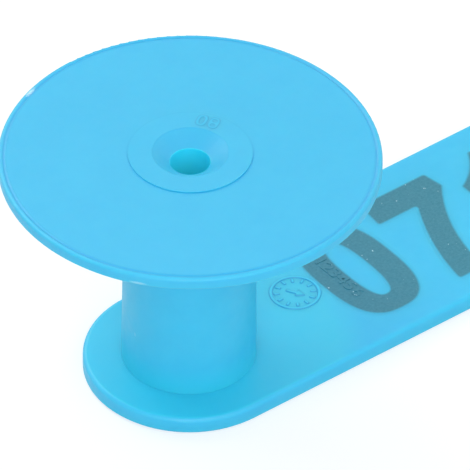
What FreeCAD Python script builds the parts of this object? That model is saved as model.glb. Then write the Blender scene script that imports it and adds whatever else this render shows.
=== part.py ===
"""Two-piece livestock ear tag, closed as it hangs in an ear.

A round-ended flag carries a number on its face and a hollow socket that stands on that face.
A button with a stem on its underside pierces the ear and locks into the socket behind its lip.
The stem ends in a hard barbed tip, and a bore down the stem takes the applicator's pin.
The ear lies in the gap between the button's disc and the top of the socket.

Frame: millimetres, +Z up along the stem, +X along the flag, origin on the stem's axis at the
flag's underside, which is the flat face that the tag rests on.
"""

import FreeCAD
import Part

import math
import os

# Flag: the soft moulded strip that carries the number.
FLAG_LENGTH = 48.5  # from the round end to the square end
FLAG_WIDTH = 16.7
FLAG_THICKNESS = 1.5
FLAG_CORNER_RADIUS = 3.0  # at the square end
FLAG_TOP_ROUND = 0.35
FLAG_UNDER_BEVEL = 0.2

# Socket: the closed cup that stands on the flag, round the stem's axis.
SOCKET_HEIGHT = 11.5  # above the flag's face
SOCKET_WALL = 1.13  # round the chamber, at the flag's face
SOCKET_DRAFT_DEG = 0.5
SOCKET_RIM_BEVEL = 0.5
SOCKET_FLOOR = 1.7  # closed end under the chamber
CHAMBER_BEVEL = 1.0  # between the chamber's wall and its floor
LIP_THICKNESS = 2.4
LIP_LEAD_IN = 0.7  # bevel that guides the tip into the lip
LIP_EDGE_BEVEL = 0.2  # on the locking edge under the lip

# Button: the soft moulded disc with the hollow stem.
DISC_RADIUS = 15.0
DISC_THICKNESS = 1.1  # at the rim
DISC_CROWN = 0.3  # how much the face rises from the rim to the pad
DISC_TOP_ROUND = 0.25
DISC_UNDER_BEVEL = 0.2
RIM_LAND = 0.05  # flat left between the rim's rounding and the groove inside it
RIM_GROOVE_WIDTH = 0.3
RIM_GROOVE_DEPTH = 0.06
PAD_RIM = 1.9  # width of the low round pad outside its countersink
PAD_HEIGHT = 0.1
COUNTERSINK_RIM = 1.4  # width of the countersink's slope outside the pin bore
COUNTERSINK_DEPTH = 1.0  # below the pad's face
PIN_BORE_RADIUS = 1.6
STEM_WALL = 0.55  # soft skin of the stem round the tip's spigot
STEM_FLARE = 0.9  # cone that stiffens the stem's root under the disc
EAR_GAP = 7.3  # between the top of the socket and the disc

# Tip: the hard point that the stem is moulded onto.
BARB_STEP = 1.0  # how far the barb's shoulder stands out from the stem
BARB_BAND = 0.7  # straight band under the barb's shoulder
BARB_BEVEL = 0.15  # on the shoulder's edge
POINT_RADIUS = 0.6  # of the blunt point
POINT_LENGTH = 3.8  # solid material under the pin's seat
SPIGOT_WALL = 0.65  # round the pin's seat
SPIGOT_LENGTH = 4.0
GROOVE_DEPTH = 0.2  # of the groove that keys the stem's moulding to the spigot
GROOVE_WIDTH = 0.8

# Clearances between the button and the flag.
SWIVEL_CLEARANCE = 0.07  # radial, stem in lip
CHAMBER_CLEARANCE = 0.4  # radial, barb in chamber
LOCK_CLEARANCE = 0.25  # barb's shoulder under the lip
POINT_CLEARANCE = 0.3  # point above the chamber's floor

# Heights along the stem, worked out from the flag's underside up.
SOCKET_TOP = FLAG_THICKNESS + SOCKET_HEIGHT
LIP_UNDERSIDE = SOCKET_TOP - LIP_THICKNESS
DISC_UNDERSIDE = SOCKET_TOP + EAR_GAP
DISC_FACE = DISC_UNDERSIDE + DISC_THICKNESS
PAD_FOOT = DISC_FACE + DISC_CROWN
PAD_FACE = PAD_FOOT + PAD_HEIGHT
BORE_MOUTH = PAD_FACE - COUNTERSINK_DEPTH
SHOULDER = LIP_UNDERSIDE - LOCK_CLEARANCE
SPIGOT_TOP = SHOULDER + SPIGOT_LENGTH
GROOVE_FLOOR = SHOULDER + (SPIGOT_LENGTH - GROOVE_WIDTH) / 2
GROOVE_TOP = GROOVE_FLOOR + GROOVE_WIDTH
POINT = SOCKET_FLOOR + POINT_CLEARANCE
PIN_SEAT = POINT + POINT_LENGTH

# Radii about the stem's axis, worked out from the pin bore outwards.
COUNTERSINK_RADIUS = PIN_BORE_RADIUS + COUNTERSINK_RIM
PAD_RADIUS = COUNTERSINK_RADIUS + PAD_RIM
RIM_GROOVE_RADIUS = DISC_RADIUS - DISC_TOP_ROUND - RIM_LAND
SPIGOT_RADIUS = PIN_BORE_RADIUS + SPIGOT_WALL
GROOVE_RADIUS = SPIGOT_RADIUS - GROOVE_DEPTH
STEM_RADIUS = SPIGOT_RADIUS + STEM_WALL
LIP_RADIUS = STEM_RADIUS + SWIVEL_CLEARANCE
BARB_RADIUS = STEM_RADIUS + BARB_STEP
CHAMBER_RADIUS = BARB_RADIUS + CHAMBER_CLEARANCE
SOCKET_BASE_RADIUS = CHAMBER_RADIUS + SOCKET_WALL
SOCKET_DRAFT = (SOCKET_HEIGHT - SOCKET_RIM_BEVEL) * math.tan(math.radians(SOCKET_DRAFT_DEG))
SOCKET_TOP_RADIUS = SOCKET_BASE_RADIUS - SOCKET_DRAFT

ORIGIN = FreeCAD.Vector(0, 0, 0)
UP = FreeCAD.Vector(0, 0, 1)
FULL_TURN = 360
SAME = 1e-4  # two lengths closer than this are the same


def revolved(*outline):
    """A solid of revolution about the stem's axis, from (radius, height) corners in order."""
    corners = [FreeCAD.Vector(radius, 0, height) for radius, height in outline]
    face = Part.Face(Part.makePolygon(corners + corners[:1]))
    return face.revolve(ORIGIN, UP, FULL_TURN)


def round_ring(solid, size, radius, height):
    """Rounds the circular edge of that radius round the stem's axis at that height."""

    def is_ring(edge):
        if not isinstance(edge.Curve, Part.Circle):
            return False
        gap = edge.Curve.Center.distanceToPoint(UP * height)
        return gap < SAME and abs(edge.Curve.Radius - radius) < SAME

    return solid.makeFillet(size, [edge for edge in solid.Edges if is_ring(edge)])


def level_edges(solid, height):
    """The edges that lie flat at that height."""

    def is_level(edge):
        box = edge.BoundBox
        return abs(box.ZMin - height) < SAME and abs(box.ZMax - height) < SAME

    return [edge for edge in solid.Edges if is_level(edge)]


def flag_outline():
    """A full round end about the stem's axis, and a square end with round corners."""
    side = FLAG_WIDTH / 2
    end = FLAG_LENGTH - side
    turn = end - FLAG_CORNER_RADIUS  # where the square end's corners start along the flag
    flank = side - FLAG_CORNER_RADIUS  # and where they end across it
    reach = FLAG_CORNER_RADIUS * math.sqrt(0.5)  # of a corner's middle from its centre

    def at(x, y):
        return FreeCAD.Vector(x, y, 0)

    round_end = Part.Arc(at(0, side), at(-side, 0), at(0, -side))
    right_side = Part.LineSegment(at(0, -side), at(turn, -side))
    right_corner = Part.Arc(at(turn, -side), at(turn + reach, -flank - reach), at(end, -flank))
    square_end = Part.LineSegment(at(end, -flank), at(end, flank))
    left_corner = Part.Arc(at(end, flank), at(turn + reach, flank + reach), at(turn, side))
    left_side = Part.LineSegment(at(turn, side), at(0, side))
    parts = (round_end, right_side, right_corner, square_end, left_corner, left_side)
    return Part.Wire([part.toShape() for part in parts])


def flag_strip():
    """The strip alone, with its face's edge rounded and its underside's edge bevelled."""
    strip = Part.Face(flag_outline()).extrude(UP * FLAG_THICKNESS)
    strip = strip.makeFillet(FLAG_TOP_ROUND, level_edges(strip, FLAG_THICKNESS))
    return strip.makeChamfer(FLAG_UNDER_BEVEL, level_edges(strip, 0))


def socket_wall():
    """The drafted outside of the socket, from inside the flag up to its rim."""
    return revolved(
        (0, FLAG_THICKNESS / 2),
        (SOCKET_BASE_RADIUS, FLAG_THICKNESS / 2),
        (SOCKET_BASE_RADIUS, FLAG_THICKNESS),
        (SOCKET_TOP_RADIUS, SOCKET_TOP - SOCKET_RIM_BEVEL),
        (SOCKET_TOP_RADIUS - SOCKET_RIM_BEVEL, SOCKET_TOP),
        (0, SOCKET_TOP),
    )


def socket_hollow():
    """What is hollow in the socket: the chamber, the hole in the lip over it and the lead-in."""
    return revolved(
        (0, SOCKET_FLOOR),
        (CHAMBER_RADIUS - CHAMBER_BEVEL, SOCKET_FLOOR),
        (CHAMBER_RADIUS, SOCKET_FLOOR + CHAMBER_BEVEL),
        (CHAMBER_RADIUS, LIP_UNDERSIDE),
        (LIP_RADIUS + LIP_EDGE_BEVEL, LIP_UNDERSIDE),
        (LIP_RADIUS, LIP_UNDERSIDE + LIP_EDGE_BEVEL),
        (LIP_RADIUS, SOCKET_TOP - LIP_LEAD_IN),
        (LIP_RADIUS + LIP_LEAD_IN, SOCKET_TOP),
        (0, SOCKET_TOP),
    )


def flag():
    """The flag and its socket, moulded as one piece."""
    return flag_strip().fuse(socket_wall()).removeSplitter().cut(socket_hollow())


def spigot():
    """The tip's tail inside the stem, with the groove that the stem's moulding flows into."""
    return revolved(
        (0, SHOULDER),
        (SPIGOT_RADIUS, SHOULDER),
        (SPIGOT_RADIUS, GROOVE_FLOOR),
        (GROOVE_RADIUS, GROOVE_FLOOR),
        (GROOVE_RADIUS, GROOVE_TOP),
        (SPIGOT_RADIUS, GROOVE_TOP),
        (SPIGOT_RADIUS, SPIGOT_TOP),
        (0, SPIGOT_TOP),
    )


def button():
    """The disc and the hollow stem, moulded as one piece round the tip's spigot."""
    solid = revolved(
        (0, SHOULDER),
        (STEM_RADIUS, SHOULDER),
        (STEM_RADIUS, DISC_UNDERSIDE - STEM_FLARE),
        (STEM_RADIUS + STEM_FLARE, DISC_UNDERSIDE),
        (DISC_RADIUS - DISC_UNDER_BEVEL, DISC_UNDERSIDE),
        (DISC_RADIUS, DISC_UNDERSIDE + DISC_UNDER_BEVEL),
        (DISC_RADIUS, DISC_FACE),
        (RIM_GROOVE_RADIUS, DISC_FACE),
        (RIM_GROOVE_RADIUS - RIM_GROOVE_WIDTH / 2, DISC_FACE - RIM_GROOVE_DEPTH),
        (RIM_GROOVE_RADIUS - RIM_GROOVE_WIDTH, DISC_FACE),
        (PAD_RADIUS, PAD_FOOT),
        (PAD_RADIUS, PAD_FACE),
        (0, PAD_FACE),
    )
    solid = round_ring(solid, DISC_TOP_ROUND, DISC_RADIUS, DISC_FACE)
    pin_bore = revolved(
        (0, SHOULDER),
        (PIN_BORE_RADIUS, SHOULDER),
        (PIN_BORE_RADIUS, BORE_MOUTH),
        (COUNTERSINK_RADIUS, PAD_FACE),
        (0, PAD_FACE),
    )
    return solid.cut(pin_bore).cut(spigot())


def tip():
    """The barbed point, its spigot and the blind seat for the applicator's pin."""
    head = revolved(
        (0, POINT),
        (POINT_RADIUS, POINT),
        (BARB_RADIUS, SHOULDER - BARB_BAND),
        (BARB_RADIUS, SHOULDER - BARB_BEVEL),
        (BARB_RADIUS - BARB_BEVEL, SHOULDER),
        (0, SHOULDER),
    )
    pin_seat = revolved(
        (0, PIN_SEAT),
        (PIN_BORE_RADIUS, PIN_SEAT),
        (PIN_BORE_RADIUS, SPIGOT_TOP),
        (0, SPIGOT_TOP),
    )
    return head.fuse(spigot()).removeSplitter().cut(pin_seat)


def main():
    os.makedirs("parts", exist_ok=True)
    pieces = {"number_flag": flag(), "stud_button": button(), "stud_tip": tip()}
    for name, solid in pieces.items():
        solid.exportStep(f"parts/{name}.step")
        print(f"{name}: {len(solid.Solids)} solid, valid {solid.isValid()}, {solid.Volume:.1f} mm3")


main()
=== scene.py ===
"""Looks of a two-piece livestock ear tag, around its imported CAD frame.

Lengths are written in millimetres and turned into metres by MM. The frame is the CAD's own: origin
on the stem's axis at the flag's underside, +X along the flag, +Z up the stem.
"""

import math

import bmesh
import bpy
from mathutils import Matrix, Vector
from mathutils.geometry import tessellate_polygon


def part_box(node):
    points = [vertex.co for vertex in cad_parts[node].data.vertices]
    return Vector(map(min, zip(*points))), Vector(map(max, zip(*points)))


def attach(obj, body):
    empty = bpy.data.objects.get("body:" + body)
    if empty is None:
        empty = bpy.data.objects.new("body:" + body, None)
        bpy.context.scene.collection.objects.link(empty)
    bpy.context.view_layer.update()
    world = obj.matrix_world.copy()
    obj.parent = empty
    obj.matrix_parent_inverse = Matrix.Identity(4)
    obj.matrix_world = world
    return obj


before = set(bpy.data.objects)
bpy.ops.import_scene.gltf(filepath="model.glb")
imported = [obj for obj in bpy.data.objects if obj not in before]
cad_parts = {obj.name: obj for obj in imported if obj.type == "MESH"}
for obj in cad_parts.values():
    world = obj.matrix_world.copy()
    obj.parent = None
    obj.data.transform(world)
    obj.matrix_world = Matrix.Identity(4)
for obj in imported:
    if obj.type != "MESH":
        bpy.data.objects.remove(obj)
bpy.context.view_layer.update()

MM = 0.001

# ---------------------------------------------------------------------------- sizes from the frame

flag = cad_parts["number_flag"]
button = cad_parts["stud_button"]
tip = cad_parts["stud_tip"]


def top_beyond(node, radius):
    """Height of the highest vertex of a node that is further than radius from the stem's axis."""
    return max(v.co.z for v in node.data.vertices if math.hypot(v.co.x, v.co.y) > radius)


DISC_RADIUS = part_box("stud_button")[1].x
PAD_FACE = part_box("stud_button")[1].z
DISC_FACE = top_beyond(button, DISC_RADIUS / 2)
FLAG_FACE = top_beyond(flag, DISC_RADIUS)
BORE_RADIUS = min(math.hypot(v.co.x, v.co.y) for v in button.data.vertices)
LEVEL_TOLERANCE = 0.01 * MM
pad_rims = [math.hypot(v.co.x, v.co.y) for v in button.data.vertices if v.co.z > PAD_FACE - LEVEL_TOLERANCE]
COUNTERSINK_RADIUS, PAD_RADIUS = min(pad_rims), max(pad_rims)
GROOVE_INSET = 0.45 * MM  # from the disc's edge to the middle of its turned groove
GROOVE_RADIUS = DISC_RADIUS - GROOVE_INSET

# ---------------------------------------------------------------------------------------- camera

AZIMUTH = math.radians(-38.46)
ELEVATION = math.radians(39.94)
ROLL = math.radians(0.54)
AIM = Vector((6.42, 2.38, 8.49)) * MM  # the middle of the view
VIEW_WIDTH = 36.98 * MM  # at the aim
LENS = 1200
SENSOR = 36


def add_camera():
    data = bpy.data.cameras.new("camera")
    data.lens = LENS
    data.sensor_width = SENSOR
    data.clip_end = 10
    camera = bpy.data.objects.new("camera", data)
    bpy.context.scene.collection.objects.link(camera)
    turned = Matrix.Rotation(AZIMUTH, 4, "Z")
    tilted = Matrix.Rotation(math.pi / 2 - ELEVATION, 4, "X")
    rolled = Matrix.Rotation(ROLL, 4, "Z")
    back = Matrix.Translation((0, 0, VIEW_WIDTH * LENS / SENSOR))
    camera.matrix_world = Matrix.Translation(AIM) @ turned @ tilted @ rolled @ back
    bpy.context.scene.camera = camera


# ----------------------------------------------------------------------------- floor and lighting

WHITE = (1, 1, 1, 1)
WORLD_LEVEL = 0.5
SOFTBOX_SIZE = 0.4
SOFTBOXES = {  # where each stands and its power in watts
    "front_softbox": ((-0.32, -0.41, 0.3), 1.5),
    "back_left_softbox": ((-0.05, 0.42, 0.42), 1.4),
    "back_right_softbox": ((0.42, 0.05, 0.42), 0.5),
    "front_right_softbox": ((0.05, -0.46, 0.39), 0.5),
}
FLOOR_SIZE = 3
FLOOR_DROP = 0.02 * MM  # keeps the floor clear of the flag's flat underside
FLOOR_ALBEDO = 0.8
FLOOR_SEEN_ALBEDO = 0.45  # how much of the shadow shows to the camera
FLOOR_SEEN_GLOW = 0.62  # lifts the floor to white for the camera alone


def seen_ray(tree):
    """1 for a ray from the camera, a reflection or a transmission, and 0 for diffuse light."""
    path = tree.nodes.new("ShaderNodeLightPath")
    either = tree.nodes.new("ShaderNodeMath")
    either.operation = "MAXIMUM"
    tree.links.new(path.outputs["Is Camera Ray"], either.inputs[0])
    tree.links.new(path.outputs["Is Glossy Ray"], either.inputs[1])
    every = tree.nodes.new("ShaderNodeMath")
    every.operation = "MAXIMUM"
    tree.links.new(either.outputs[0], every.inputs[0])
    tree.links.new(path.outputs["Is Transmission Ray"], every.inputs[1])
    return every.outputs[0]


def light_world():
    world = bpy.data.worlds.new("studio")
    world.use_nodes = True
    tree = world.node_tree
    tree.nodes.clear()
    lit = tree.nodes.new("ShaderNodeBackground")
    lit.inputs["Color"].default_value = WHITE
    lit.inputs["Strength"].default_value = WORLD_LEVEL
    seen = tree.nodes.new("ShaderNodeBackground")
    seen.inputs["Color"].default_value = WHITE
    seen.inputs["Strength"].default_value = 1
    mix = tree.nodes.new("ShaderNodeMixShader")
    out = tree.nodes.new("ShaderNodeOutputWorld")
    tree.links.new(seen_ray(tree), mix.inputs[0])
    tree.links.new(lit.outputs[0], mix.inputs[1])
    tree.links.new(seen.outputs[0], mix.inputs[2])
    tree.links.new(mix.outputs[0], out.inputs[0])
    bpy.context.scene.world = world


def floor_material():
    material = bpy.data.materials.new("studio_floor")
    material.use_nodes = True
    tree = material.node_tree
    tree.nodes.clear()
    plain = tree.nodes.new("ShaderNodeBsdfDiffuse")
    plain.inputs["Color"].default_value = (FLOOR_ALBEDO,) * 3 + (1,)
    shown = tree.nodes.new("ShaderNodeBsdfDiffuse")
    shown.inputs["Color"].default_value = (FLOOR_SEEN_ALBEDO,) * 3 + (1,)
    glow = tree.nodes.new("ShaderNodeEmission")
    glow.inputs["Color"].default_value = WHITE
    glow.inputs["Strength"].default_value = FLOOR_SEEN_GLOW
    lifted = tree.nodes.new("ShaderNodeAddShader")
    mix = tree.nodes.new("ShaderNodeMixShader")
    out = tree.nodes.new("ShaderNodeOutputMaterial")
    tree.links.new(shown.outputs[0], lifted.inputs[0])
    tree.links.new(glow.outputs[0], lifted.inputs[1])
    tree.links.new(seen_ray(tree), mix.inputs[0])
    tree.links.new(plain.outputs[0], mix.inputs[1])
    tree.links.new(lifted.outputs[0], mix.inputs[2])
    tree.links.new(mix.outputs[0], out.inputs[0])
    return material


def add_floor():
    half = FLOOR_SIZE / 2
    sides = ((-half, -half), (half, -half), (half, half), (-half, half))
    corners = [(x, y, -FLOOR_DROP) for x, y in sides]
    mesh = bpy.data.meshes.new("studio_floor")
    mesh.from_pydata(corners, [], [(0, 1, 2, 3)])
    mesh.materials.append(floor_material())
    floor = bpy.data.objects.new("studio_floor", mesh)
    bpy.context.scene.collection.objects.link(floor)


def add_softbox(name, place, power):
    """A square area light that faces the middle of the tag."""
    data = bpy.data.lights.new(name, "AREA")
    data.size = SOFTBOX_SIZE
    data.energy = power
    light = bpy.data.objects.new(name, data)
    light.location = place
    light.rotation_euler = (AIM - Vector(place)).to_track_quat("-Z", "Y").to_euler()
    bpy.context.scene.collection.objects.link(light)


# ------------------------------------------------------------------------------------- materials

BUTTON_BLUE = (0.034, 0.512, 0.79, 1)
BUTTON_BLUE_DEEP = (0.03, 0.49, 0.775, 1)
FLAG_BLUE = (0.032, 0.54, 0.825, 1)
FLAG_BLUE_DEEP = (0.026, 0.512, 0.8, 1)
UNDER_DISC_LIGHT_BLUE = (0.034, 0.595, 0.8, 1)  # painted light: a greener, lighter blue under the disc and round the foot of the socket, where the disc's shade falls
# painted light inside the bore, lighter further down
BORE_GLOW_BLUE = (0.04, 0.76, 0.97, 1)
BORE_GLOW_BLUE_DEEP = (0.08, 0.86, 1, 1)
LINE_SHADE_BLUE = (0.018, 0.44, 0.74, 1)  # painted shade in the disc's groove and along the edges of its pad and countersink
MARK_SHADE_BLUE = (0.018, 0.4, 0.69, 1)  # painted shade along the edges of raised marks
INK = (0.006, 0.175, 0.248, 1)
INK_WORN = (0.03, 0.235, 0.32, 1)
SPECK = (0.45, 0.7, 0.8, 1)
# pale rubs, partly wear and partly painted highlights
PALE_RUB_AND_HIGHLIGHT = (0.72, 0.9, 0.97, 1)
NYLON = (0.02, 0.022, 0.025, 1)
NYLON_SWIRL = (0.035, 0.037, 0.04, 1)

# A noise is (blotch size, detail, roughness) and a range is (low, high).
CLOUD_NOISE, CLOUD_RANGE = (2.6 * MM, 5.0, 0.62), (0.3, 0.7)
GRAIN_NOISE = (0.16 * MM, 2.0, 0.6)
GRAIN_BUMP = {"Strength": 0.25, "Distance": 0.012 * MM}
MOTTLE_NOISE, MOTTLE_RANGE = (0.9 * MM, 3.0, 0.6), (0.3, 0.7)
SOFT_ROUGHNESS = (0.42, 0.54)
SOFT_IOR = 1.57
SCATTER = 0.6
SCATTER_SIZE = 1.2 * MM
SCATTER_RADIUS = (0.2, 0.85, 1.0)  # red hardly travels in the blue
SPECK_NOISE, SPECK_RANGE = (0.35 * MM, 2.0, 0.5), (0.72, 0.76)
WORN_NOISE, WORN_RANGE = (0.22 * MM, 3.0, 0.65), (0.35, 0.75)
SWIRL_NOISE, SWIRL_RANGE = (2 * MM, 3.0, 0.6), (0.3, 0.7)
NYLON_GRAIN_NOISE, NYLON_GRAIN_RANGE = (0.1 * MM, 2.0, 0.6), (0.2, 0.8)
NYLON_ROUGHNESS = (0.28, 0.4)
NYLON_BUMP = {"Strength": 0.2, "Distance": 0.01 * MM}
PATCH_NOISE, PATCH_RANGE = (0.12 * MM, 3.0, 0.7), (0.85, 1.5)
PATCH_GAIN = 1.6  # how far a patch's soft shape outweighs its noise

RING_CORE = 0.3  # the share of a fine line's half width that is at full strength
DISC_UPPER = (DISC_FACE - 0.6 * MM, DISC_FACE - 0.4 * MM)
BORE_WALL = (BORE_RADIUS * 1.002, BORE_RADIUS * 1.02)
BORE_DEPTH = (PAD_FACE - 3.4 * MM, PAD_FACE - 1.3 * MM)
ROOT_REACH = (DISC_RADIUS * 0.78, DISC_RADIUS * 0.95)
ROOT_FLOOR = (FLAG_FACE - 0.06 * MM, FLAG_FACE - 0.01 * MM)
ROOT_RISE = (FLAG_FACE + 0.1 * MM, FLAG_FACE + 2.5 * MM)

# A fine line of painted shade round the disc is (radius, half width, strength).
SHADE_RINGS = (
    (GROOVE_RADIUS, 0.28 * MM, 0.9),
    (PAD_RADIUS, 0.12 * MM, 0.5),
    (COUNTERSINK_RADIUS, 0.12 * MM, 0.5),
)

# A pale rub with a painted highlight is (centre, turn, half sizes, strength).
BACK_RUB_AND_HIGHLIGHT = ((-5.12 * MM, 13.76 * MM, DISC_FACE), (0, 0, 0.356), (1.15 * MM, 0.3 * MM, 0.5 * MM), 0.75)
EDGE_NICK_AND_HIGHLIGHT = ((-12.07 * MM, -8.91 * MM, DISC_FACE - MM), (0, 0, -0.935), (1.1 * MM, 0.2 * MM, 0.16 * MM), 0.3)
SOCKET_RUB_AND_HIGHLIGHT = ((-5.3 * MM, 0.14 * MM, FLAG_FACE + 4.3 * MM), (0, 0, 0), (0.2 * MM, 0.22 * MM, 0.3 * MM), 0.12)


def new_node(tree, kind, values=(), **settings):
    """A shader node with its settings, and its inputs set or linked by (input, value or socket)."""
    node = tree.nodes.new(kind)
    for name, value in settings.items():
        setattr(node, name, value)
    for name, value in values:
        if isinstance(value, bpy.types.NodeSocket):
            tree.links.new(value, node.inputs[name])
        else:
            node.inputs[name].default_value = value
    return node


def blend_colour(tree, factor, low, high):
    """A mix of two colours by a factor."""
    node = new_node(tree, "ShaderNodeMix", data_type="RGBA")
    for socket, value in ((node.inputs[0], factor), (node.inputs[6], low), (node.inputs[7], high)):
        if isinstance(value, bpy.types.NodeSocket):
            tree.links.new(value, socket)
        else:
            socket.default_value = value
    return node.outputs[2]


def noise_of(tree, place, size, detail, rough):
    """Noise between 0 and 1 whose blotches are about that size."""
    values = (("Vector", place), ("Scale", 1 / size), ("Detail", detail), ("Roughness", rough))
    return new_node(tree, "ShaderNodeTexNoise", values).outputs["Fac"]


def stretch(tree, value, low, high, to_low=0.0, to_high=1.0):
    """The value taken from one range to another, and held at its ends."""
    source = (("Value", value), ("From Min", low), ("From Max", high))
    target = (("To Min", to_low), ("To Max", to_high))
    return new_node(tree, "ShaderNodeMapRange", source + target).outputs[0]


def soft_patch_of(tree, place, centre, turn, size):
    """A soft patch that is 1 at its centre and 0 outside its half-sizes, broken up by noise."""
    values = (("Vector", place), ("Location", centre), ("Rotation", turn), ("Scale", size))
    local = new_node(tree, "ShaderNodeMapping", values, vector_type="TEXTURE").outputs[0]
    ball = new_node(tree, "ShaderNodeTexGradient", (("Vector", local),), gradient_type="SPHERICAL")
    broken = noise_of(tree, place, *PATCH_NOISE)
    patch = new_node(tree, "ShaderNodeMath", operation="MULTIPLY_ADD")
    tree.links.new(ball.outputs["Fac"], patch.inputs[0])
    patch.inputs[1].default_value = PATCH_GAIN
    tree.links.new(broken, patch.inputs[2])
    return stretch(tree, patch.outputs[0], *PATCH_RANGE)


def distance_from_stem(tree, place):
    flat = new_node(tree, "ShaderNodeVectorMath", operation="MULTIPLY")
    tree.links.new(place, flat.inputs[0])
    flat.inputs[1].default_value = (1, 1, 0)
    length = new_node(tree, "ShaderNodeVectorMath", operation="LENGTH")
    tree.links.new(flat.outputs[0], length.inputs[0])
    return length.outputs["Value"]


def height_of(tree, place):
    return new_node(tree, "ShaderNodeSeparateXYZ", (("Vector", place),)).outputs["Z"]


def product(tree, first, second):
    node = new_node(tree, "ShaderNodeMath", operation="MULTIPLY")
    tree.links.new(first, node.inputs[0])
    tree.links.new(second, node.inputs[1])
    return node.outputs[0]


# A tint is a function of (tree, place, colour) that returns the changed colour.


def rub_and_highlight_tint(centre, turn, size, strength):
    """A pale rub at one place, partly wear and partly a painted highlight."""

    def tint(tree, place, colour):
        mask = stretch(tree, soft_patch_of(tree, place, centre, turn, size), 0, 1, 0, strength)
        return blend_colour(tree, mask, colour, PALE_RUB_AND_HIGHLIGHT)

    return tint


def shade_ring_tint(radius, half_width, strength):
    """A fine line of painted shade round the stem's axis on the upper side of the disc."""

    def tint(tree, place, colour):
        away = new_node(tree, "ShaderNodeMath", operation="SUBTRACT")
        tree.links.new(distance_from_stem(tree, place), away.inputs[0])
        away.inputs[1].default_value = radius
        size = new_node(tree, "ShaderNodeMath", operation="ABSOLUTE")
        tree.links.new(away.outputs[0], size.inputs[0])
        line = stretch(tree, size.outputs[0], half_width * RING_CORE, half_width, strength, 0)
        upper = stretch(tree, height_of(tree, place), *DISC_UPPER)
        return blend_colour(tree, product(tree, line, upper), colour, LINE_SHADE_BLUE)

    return tint


def bore_glow_tint(tree, place, colour):
    """Painted light that stands in for light coming through the soft stem into the bore, more of it further
    down.
    """
    inside = stretch(tree, distance_from_stem(tree, place), *BORE_WALL, 1, 0)
    depth = stretch(tree, height_of(tree, place), *BORE_DEPTH, 1, 0)
    return blend_colour(tree, inside, colour, blend_colour(tree, depth, BORE_GLOW_BLUE, BORE_GLOW_BLUE_DEEP))


def under_disc_light_tint(tree, place, colour):
    """Painted light: a greener, lighter blue on the flag's face under the disc and the foot of its socket,
    where the disc's shade falls.
    """
    near = stretch(tree, distance_from_stem(tree, place), *ROOT_REACH, 1, 0)
    height = height_of(tree, place)
    over = stretch(tree, height, *ROOT_FLOOR)
    under = stretch(tree, height, *ROOT_RISE, 1, 0)
    return blend_colour(tree, product(tree, near, product(tree, over, under)), colour, UNDER_DISC_LIGHT_BLUE)


def ink_tint(tree, place, colour):
    """Dark ink, slightly worn and with a few bright specks."""
    speck = stretch(tree, noise_of(tree, place, *SPECK_NOISE), *SPECK_RANGE)
    worn = stretch(tree, noise_of(tree, place, *WORN_NOISE), *WORN_RANGE)
    ink = blend_colour(tree, worn, INK, INK_WORN)
    ink = blend_colour(tree, speck, ink, SPECK)
    return blend_colour(tree, marked(tree), colour, ink)


def edge_shade_tint(tree, place, colour):
    """Painted shade: a darker edge round a raised mark."""
    return blend_colour(tree, marked(tree), colour, MARK_SHADE_BLUE)


def marked(tree):
    """The share of ink or painted shade that a piece's own points carry."""
    return new_node(tree, "ShaderNodeAttribute", attribute_name="ink_and_shade").outputs["Fac"]


def soft_plastic(name, light, deep, tints=(), solid=True):
    """Soft moulded polyurethane: faintly cloudy blue with a fine matte grain and its tints."""
    material = bpy.data.materials.new(name)
    material.use_nodes = True
    tree = material.node_tree
    tree.nodes.clear()
    place = new_node(tree, "ShaderNodeTexCoord").outputs["Object"]
    clouds = stretch(tree, noise_of(tree, place, *CLOUD_NOISE), *CLOUD_RANGE)
    colour = blend_colour(tree, clouds, light, deep)
    grain = noise_of(tree, place, *GRAIN_NOISE)
    mottle = stretch(tree, noise_of(tree, place, *MOTTLE_NOISE), *MOTTLE_RANGE, *SOFT_ROUGHNESS)
    for tint in tints:
        colour = tint(tree, place, colour)
    bump = new_node(tree, "ShaderNodeBump", (("Height", grain), *GRAIN_BUMP.items()))
    shader_values = (
        ("Base Color", colour),
        ("Roughness", mottle),
        ("IOR", SOFT_IOR),
        ("Subsurface Weight", SCATTER if solid else 0),
        ("Subsurface Radius", SCATTER_RADIUS),
        ("Subsurface Scale", SCATTER_SIZE),
        ("Normal", bump.outputs[0]),
    )
    shader = new_node(tree, "ShaderNodeBsdfPrincipled", shader_values)
    new_node(tree, "ShaderNodeOutputMaterial", (("Surface", shader.outputs[0]),))
    return material


def hard_nylon(name):
    """Hard black nylon of the tip, with a faint swirl and a fine grain."""
    material = bpy.data.materials.new(name)
    material.use_nodes = True
    tree = material.node_tree
    tree.nodes.clear()
    place = new_node(tree, "ShaderNodeTexCoord").outputs["Object"]
    swirl = stretch(tree, noise_of(tree, place, *SWIRL_NOISE), *SWIRL_RANGE)
    colour = blend_colour(tree, swirl, NYLON, NYLON_SWIRL)
    grain = noise_of(tree, place, *NYLON_GRAIN_NOISE)
    rough = stretch(tree, grain, *NYLON_GRAIN_RANGE, *NYLON_ROUGHNESS)
    bump = new_node(tree, "ShaderNodeBump", (("Height", grain), *NYLON_BUMP.items()))
    shader_values = (("Base Color", colour), ("Roughness", rough), ("Normal", bump.outputs[0]))
    shader = new_node(tree, "ShaderNodeBsdfPrincipled", shader_values)
    new_node(tree, "ShaderNodeOutputMaterial", (("Surface", shader.outputs[0]),))
    return material


def dress(node, material):
    node.data.materials.clear()
    node.data.materials.append(material)


# ------------------------------------------------------------------------- outlines and plates

def vectors(corners):
    return [Vector(corner) for corner in corners]


def bend_points(start, pull, end, steps):
    """Points along a smooth bend from start to end, drawn towards pull."""
    shares = [step / steps for step in range(steps + 1)]
    return [(1 - t) ** 2 * start + 2 * t * (1 - t) * pull + t ** 2 * end for t in shares]


LONGEST_REACH = 0.45  # of a side, so that two rounded corners never meet


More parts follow.
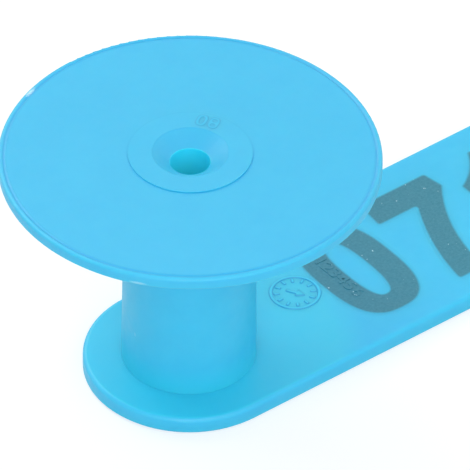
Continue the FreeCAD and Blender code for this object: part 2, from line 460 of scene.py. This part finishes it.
def rounded(corners, radius, steps=5):
    """A closed outline through corners, each of them rounded."""
    outline = []
    for index, corner in enumerate(corners):
        before, after = corners[index - 1], corners[(index + 1) % len(corners)]
        into, out = (before - corner).normalized(), (after - corner).normalized()
        reach = radius * math.tan((math.pi - into.angle(out)) / 2)
        shorter = min((before - corner).length, (after - corner).length)
        reach = min(reach, LONGEST_REACH * shorter)
        outline += bend_points(corner + into * reach, corner, corner + out * reach, steps)
    return outline


def oval(centre, half_width, half_height, squareness=2, steps=72):
    """A closed anticlockwise oval, squarer than an ellipse where squareness is over 2."""

    def bulge(value):
        return math.copysign(abs(value) ** (2 / squareness), value)

    angles = [2 * math.pi * step / steps for step in range(steps)]
    across = [half_width * bulge(math.cos(angle)) for angle in angles]
    along = [half_height * bulge(math.sin(angle)) for angle in angles]
    return [centre + Vector(place) for place in zip(across, along)]


def curve_between(start, pull, end, steps=10):
    """Corners along a smooth bend, with its start and without its end."""
    return bend_points(Vector(start), Vector(pull), Vector(end), steps)[:-1]


def offset(outline, distance):
    """The outline moved to the right of its direction, which is outwards for an anticlockwise one."""
    moved = []
    for index, point in enumerate(outline):
        along = outline[(index + 1) % len(outline)] - outline[index - 1]
        moved.append(point + Vector((along.y, -along.x)).normalized() * distance)
    return moved


def add_piece(name, mesh, material, body):
    """Puts a new mesh in the scene, riding on a body, in the soft blue of that body's plastic."""
    mesh.materials.append(material)
    piece = bpy.data.objects.new(name, mesh)
    bpy.context.scene.collection.objects.link(piece)
    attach(piece, body)
    return piece


class Plate:
    """A thin closed body on a flat face, made of outlines with holes, from bands of offset loops.

    A band is (offset, height over the face, share of ink or painted shade). The first is the foot, sunk
    in the face.
    """

    def __init__(self, face_height):
        self.face_height = face_height
        self.points, self.faces, self.ink_and_shade_shares = [], [], []

    def add_loop(self, outline, height, ink):
        start = len(self.points)
        level = self.face_height + height * MM
        self.points.extend((point.x * MM, point.y * MM, level) for point in outline)
        self.ink_and_shade_shares.extend([(ink, ink, ink, 1)] * len(outline))
        return list(range(start, len(self.points)))

    def bridge(self, lower, upper):
        for index, corner in enumerate(lower):
            after = (index + 1) % len(lower)
            self.faces.append((corner, lower[after], upper[after], upper[index]))

    def cap(self, loops, upwards):
        """Fills the space between an outline and its holes."""
        indices = [index for loop in loops for index in loop]
        outlines = [[Vector(self.points[index]) for index in loop] for loop in loops]
        for triangle in tessellate_polygon(outlines):
            corners = [indices[index] for index in triangle]
            a, b, c = (Vector(self.points[index]) for index in corners)
            is_up = (b - a).cross(c - a).z > 0
            self.faces.append(tuple(corners if is_up == upwards else corners[::-1]))

    def add(self, contours, bands):
        """Adds one outline, anticlockwise, with its holes, clockwise."""
        feet, tops = [], []
        for contour in contours:
            loops = [self.add_loop(offset(contour, band[0]), band[1], band[2]) for band in bands]
            for lower, upper in zip(loops, loops[1:]):
                self.bridge(lower, upper)
            feet.append(loops[0])
            tops.append(loops[-1])
        self.cap(tops, True)
        self.cap(feet, False)

    def build(self, name, material, body):
        mesh = bpy.data.meshes.new(name)
        mesh.from_pydata(self.points, [], self.faces)
        colours = mesh.color_attributes.new("ink_and_shade", "FLOAT_COLOR", "POINT")
        for item, ink in zip(colours.data, self.ink_and_shade_shares):
            item.color = ink
        return add_piece(name, mesh, material, body)


# ------------------------------------------------------------------------------- printed number

PRINT_BANDS = ((0.12, -0.02, 0), (0.12, 0.004, 0), (-0.10, 0.012, 1))  # soft-edged ink
DIGIT_CORNER = 0.28
DIGIT_TOP, DIGIT_FOOT = 5.62, -6.1
DIGIT_STROKE = 2.45
ZERO_MIDDLE = 16.7
ZERO_HALF_WIDTH = 3.47
ZERO_EYE_HALF_WIDTH = 1.11
ZERO_BOW = 2.03  # the stroke's thickness over and under the eye
ZERO_SQUARENESS, ZERO_EYE_SQUARENESS = 2.7, 2.5


# Lengths on the flag are millimetres along +X and +Y.


def digit_zero():
    middle = Vector((ZERO_MIDDLE, (DIGIT_TOP + DIGIT_FOOT) / 2))
    half_height = (DIGIT_TOP - DIGIT_FOOT) / 2
    outer = oval(middle, ZERO_HALF_WIDTH, half_height, ZERO_SQUARENESS)
    inner = oval(middle, ZERO_EYE_HALF_WIDTH, half_height - ZERO_BOW, ZERO_EYE_SQUARENESS)
    return [outer, inner[::-1]]


def digit_seven():
    left, right, bar_foot, bar_end = 21.45, 28.15, 2.92, 25.35
    foot_left, foot_right = 22.45, 24.9
    bar_slope = 0.25
    knee = (right + 0.32, 3.7)
    inner_pull, outer_pull = (22.9, -1.6), (25.2, -0.6)
    corners = [
        Vector((left + bar_slope, DIGIT_TOP)),
        Vector((left, bar_foot)),
        *curve_between((bar_end, bar_foot), inner_pull, (foot_left, DIGIT_FOOT)),
        Vector((foot_left, DIGIT_FOOT)),
        *curve_between((foot_right, DIGIT_FOOT), outer_pull, knee),
        Vector(knee),
        Vector((right, DIGIT_TOP)),
    ]
    return [rounded(corners, DIGIT_CORNER)]


def digit_one():
    right = 34.6
    left = right - DIGIT_STROKE
    arm_tip, arm_top, arm_foot, arm_root = 29.7, 2.6, 0.55, 1.9
    shoulder = left + 0.5
    upper_pull, lower_pull = (31.5, 3.5), (31.2, 0.95)
    corners = [
        Vector((right, DIGIT_TOP)),
        *curve_between((shoulder, DIGIT_TOP), upper_pull, (arm_tip, arm_top)),
        Vector((arm_tip, arm_top)),
        *curve_between((arm_tip, arm_foot), lower_pull, (left, arm_root)),
        Vector((left, arm_root)),
        Vector((left, DIGIT_FOOT)),
        Vector((right, DIGIT_FOOT)),
    ]
    return [rounded(corners, DIGIT_CORNER)]


def print_number(material):
    plate = Plate(FLAG_FACE)
    for contours in (digit_zero(), digit_seven(), digit_one()):
        plate.add(contours, PRINT_BANDS)
    return plate.build("printed_number", material, "flag")


# --------------------------------------------------------------------------- raised mould marks

MARK_SINK = 0.03
MARK_DRAFT = 0.04
DIAL_EDGE, CAVITY_EDGE = 0.06, 0.1  # how far the painted shade reaches in from a mark's edge
FLAG_MARK_HEIGHT = 0.06
PAD_MARK_HEIGHT = 0.02  # no more, because the pad is the tag's highest face
DIAL_CENTRE = Vector((11.0, 0.45))
DIAL_RADIUS = 2.05
DIAL_RING = 0.24
DIAL_TICKS = 12
TICK_LENGTH = 0.45
TICK_WIDTH = 0.2
TICK_GAP = 0.12  # between a tick and the ring
BAR_ROUNDING = 0.8  # of a bar's half width
ARROW_TURN = math.radians(-60)
ARROW_TAIL, ARROW_NECK, ARROW_POINT = -0.75, 0.15, 0.85  # along the arrow
ARROW_SHAFT, ARROW_HEAD = 0.12, 0.4  # half widths
ARROW_CORNER = 0.04
COUNT_CENTRE = Vector((14.98, -0.3))
COUNT_DIGIT = 1.05
COUNT_LENGTH = 5.3
TEXT_BOLDNESS = 0.012  # of the font's own size
TEXT_MERGE = 1e-5
CAVITY_ANGLE = math.radians(31.7)
CAVITY_DISTANCE = 3.95
CAVITY_DIGIT = (0.86, 1.34)  # a digit's width and height
CAVITY_STROKE = 0.25
CAVITY_WAIST = 0.75  # of a stroke, the 8's bow left over its half of the crossing
CAVITY_PITCH = 1.0
CAVITY_OVAL, CAVITY_EYE = (2.6, 40), (2.3, 28)  # squareness and steps


def mark_bands(height, edge):
    """A low mark with drafted walls and painted shade along its edge."""
    return ((MARK_DRAFT, -MARK_SINK, 1), (MARK_DRAFT, 0, 1), (0, height, 1), (-edge, height, 0))


def turned(outline, angle, centre):
    """An outline turned about the origin, then moved to a centre."""
    turn = Matrix.Rotation(angle, 2)
    return [turn @ point + centre for point in outline]


def bar(start, end, width):
    """A rounded bar along the local X axis."""
    half = width / 2
    corners = vectors([(start, -half), (end, -half), (end, half), (start, half)])
    return rounded(corners, half * BAR_ROUNDING)


def add_dial(material):
    """A plain date dial: a ring, twelve ticks inside it and an arrow."""
    plate = Plate(FLAG_FACE)
    bands = mark_bands(FLAG_MARK_HEIGHT, DIAL_EDGE)
    ring_in = DIAL_RADIUS - DIAL_RING
    outer, inner = (oval(DIAL_CENTRE, radius, radius) for radius in (DIAL_RADIUS, ring_in))
    plate.add([outer, inner[::-1]], bands)
    tick_end = ring_in - TICK_GAP
    tick = bar(tick_end - TICK_LENGTH, tick_end, TICK_WIDTH)
    for index in range(DIAL_TICKS):
        plate.add([turned(tick, 2 * math.pi * index / DIAL_TICKS, DIAL_CENTRE)], bands)
    lower_side = [(ARROW_TAIL, -ARROW_SHAFT), (ARROW_NECK, -ARROW_SHAFT), (ARROW_NECK, -ARROW_HEAD)]
    upper_side = [(x, -y) for x, y in reversed(lower_side)]
    arrow = vectors([*lower_side, (ARROW_POINT, 0), *upper_side])
    plate.add([turned(rounded(arrow, ARROW_CORNER), ARROW_TURN, DIAL_CENTRE)], bands)
    return plate.build("date_dial", material, "flag")


def add_cavity_mark(material):
    """The number 08 on the pad, reading along the rim."""
    plate = Plate(PAD_FACE)
    half_width, half_height = (size / 2 for size in CAVITY_DIGIT)
    eye_width = half_width - CAVITY_STROKE
    eye_height = half_height / 2 - CAVITY_STROKE * CAVITY_WAIST
    eye_rise = eye_height + CAVITY_STROKE / 2
    out = Vector((math.cos(CAVITY_ANGLE), math.sin(CAVITY_ANGLE))) * CAVITY_DISTANCE
    zero_eyes = [(0, half_height - CAVITY_STROKE)]
    eight_eyes = [(eye_rise, eye_height), (-eye_rise, eye_height)]
    for place, eyes in ((-CAVITY_PITCH / 2, zero_eyes), (CAVITY_PITCH / 2, eight_eyes)):
        contours = [oval(Vector((place, 0)), half_width, half_height, *CAVITY_OVAL)]
        for rise, height in eyes:
            contours.append(oval(Vector((place, rise)), eye_width, height, *CAVITY_EYE)[::-1])
        contours = [turned(contour, CAVITY_ANGLE - math.pi / 2, out) for contour in contours]
        plate.add(contours, mark_bands(PAD_MARK_HEIGHT, CAVITY_EDGE))
    return plate.build("cavity_mark", material, "button")


def raised_text(name, text, digit_height, length, matrix, material, body):
    """Plain raised digits, all inked, centred on the matrix's origin and read along its X axis."""
    curve = bpy.data.curves.new(name, "FONT")
    curve.body = text
    curve.extrude = 1
    curve.offset = TEXT_BOLDNESS
    shape = bpy.data.objects.new(name + "_shape", curve)
    bpy.context.scene.collection.objects.link(shape)
    bpy.context.view_layer.update()
    mesh = bpy.data.meshes.new_from_object(shape)
    bpy.data.objects.remove(shape)
    edit = bmesh.new()
    edit.from_mesh(mesh)
    bmesh.ops.remove_doubles(edit, verts=edit.verts, dist=TEXT_MERGE)
    lows = Vector(min(v.co[axis] for v in edit.verts) for axis in range(3))
    highs = Vector(max(v.co[axis] for v in edit.verts) for axis in range(3))
    middle, span = (lows + highs) / 2, highs - lows
    deep = FLAG_MARK_HEIGHT + MARK_SINK
    sizes = (length, digit_height, deep)
    scale = Matrix.Diagonal([size / own * MM for size, own in zip(sizes, span)] + [1])
    lift = Matrix.Translation((0, 0, (FLAG_MARK_HEIGHT - deep / 2) * MM))
    edit.transform(matrix @ lift @ scale @ Matrix.Translation(-middle))
    edit.to_mesh(mesh)
    edit.free()
    mesh.materials.clear()
    colours = mesh.color_attributes.new("ink_and_shade", "FLOAT_COLOR", "POINT")
    for item in colours.data:
        item.color = WHITE
    return add_piece(name, mesh, material, body)


def add_marks(ink):
    # the dial also takes the painted light under the disc
    dial_plastic = soft_plastic("dial_blue", FLAG_BLUE, FLAG_BLUE_DEEP, (under_disc_light_tint, edge_shade_tint), solid=False)
    # the dial's edges carry painted shade
    add_dial(dial_plastic)
    down_flag = Matrix.Rotation(-math.pi / 2, 4, "Z")
    count_place = Matrix.Translation((COUNT_CENTRE.x * MM, COUNT_CENTRE.y * MM, FLAG_FACE))
    raised_text("mould_count", "123456", COUNT_DIGIT, COUNT_LENGTH, count_place @ down_flag, ink, "flag")
    # the cavity mark's edges carry painted shade
    pad_plastic = soft_plastic("cavity_blue", BUTTON_BLUE, BUTTON_BLUE_DEEP, (edge_shade_tint,), solid=False)
    add_cavity_mark(pad_plastic)


# ------------------------------------------------------------------------------------- assembly

def main():
    bpy.context.scene.view_settings.view_transform = "Standard"
    add_camera()
    light_world()
    add_floor()
    for name, (place, power) in SOFTBOXES.items():
        add_softbox(name, place, power)

    # painted shade in the disc's groove and along the edges of its pad and countersink
    shade_rings = [shade_ring_tint(*ring) for ring in SHADE_RINGS]
    # painted light inside the bore
    # pale rubs on the disc that are partly painted highlights
    button_tints = (*shade_rings, bore_glow_tint, rub_and_highlight_tint(*BACK_RUB_AND_HIGHLIGHT), rub_and_highlight_tint(*EDGE_NICK_AND_HIGHLIGHT))
    # a pale rub on the socket that is partly a painted highlight
    # painted light on the flag's face under the disc and the foot of its socket
    flag_tints = (under_disc_light_tint, rub_and_highlight_tint(*SOCKET_RUB_AND_HIGHLIGHT))
    dress(button, soft_plastic("soft_blue_button", BUTTON_BLUE, BUTTON_BLUE_DEEP, button_tints))
    dress(flag, soft_plastic("soft_blue_flag", FLAG_BLUE, FLAG_BLUE_DEEP, flag_tints))
    dress(tip, hard_nylon("hard_tip_nylon"))
    # the ink also takes the painted light under the disc
    ink = soft_plastic("printed_ink", FLAG_BLUE, FLAG_BLUE_DEEP, (under_disc_light_tint, ink_tint), solid=False)
    print_number(ink)
    add_marks(ink)


main()
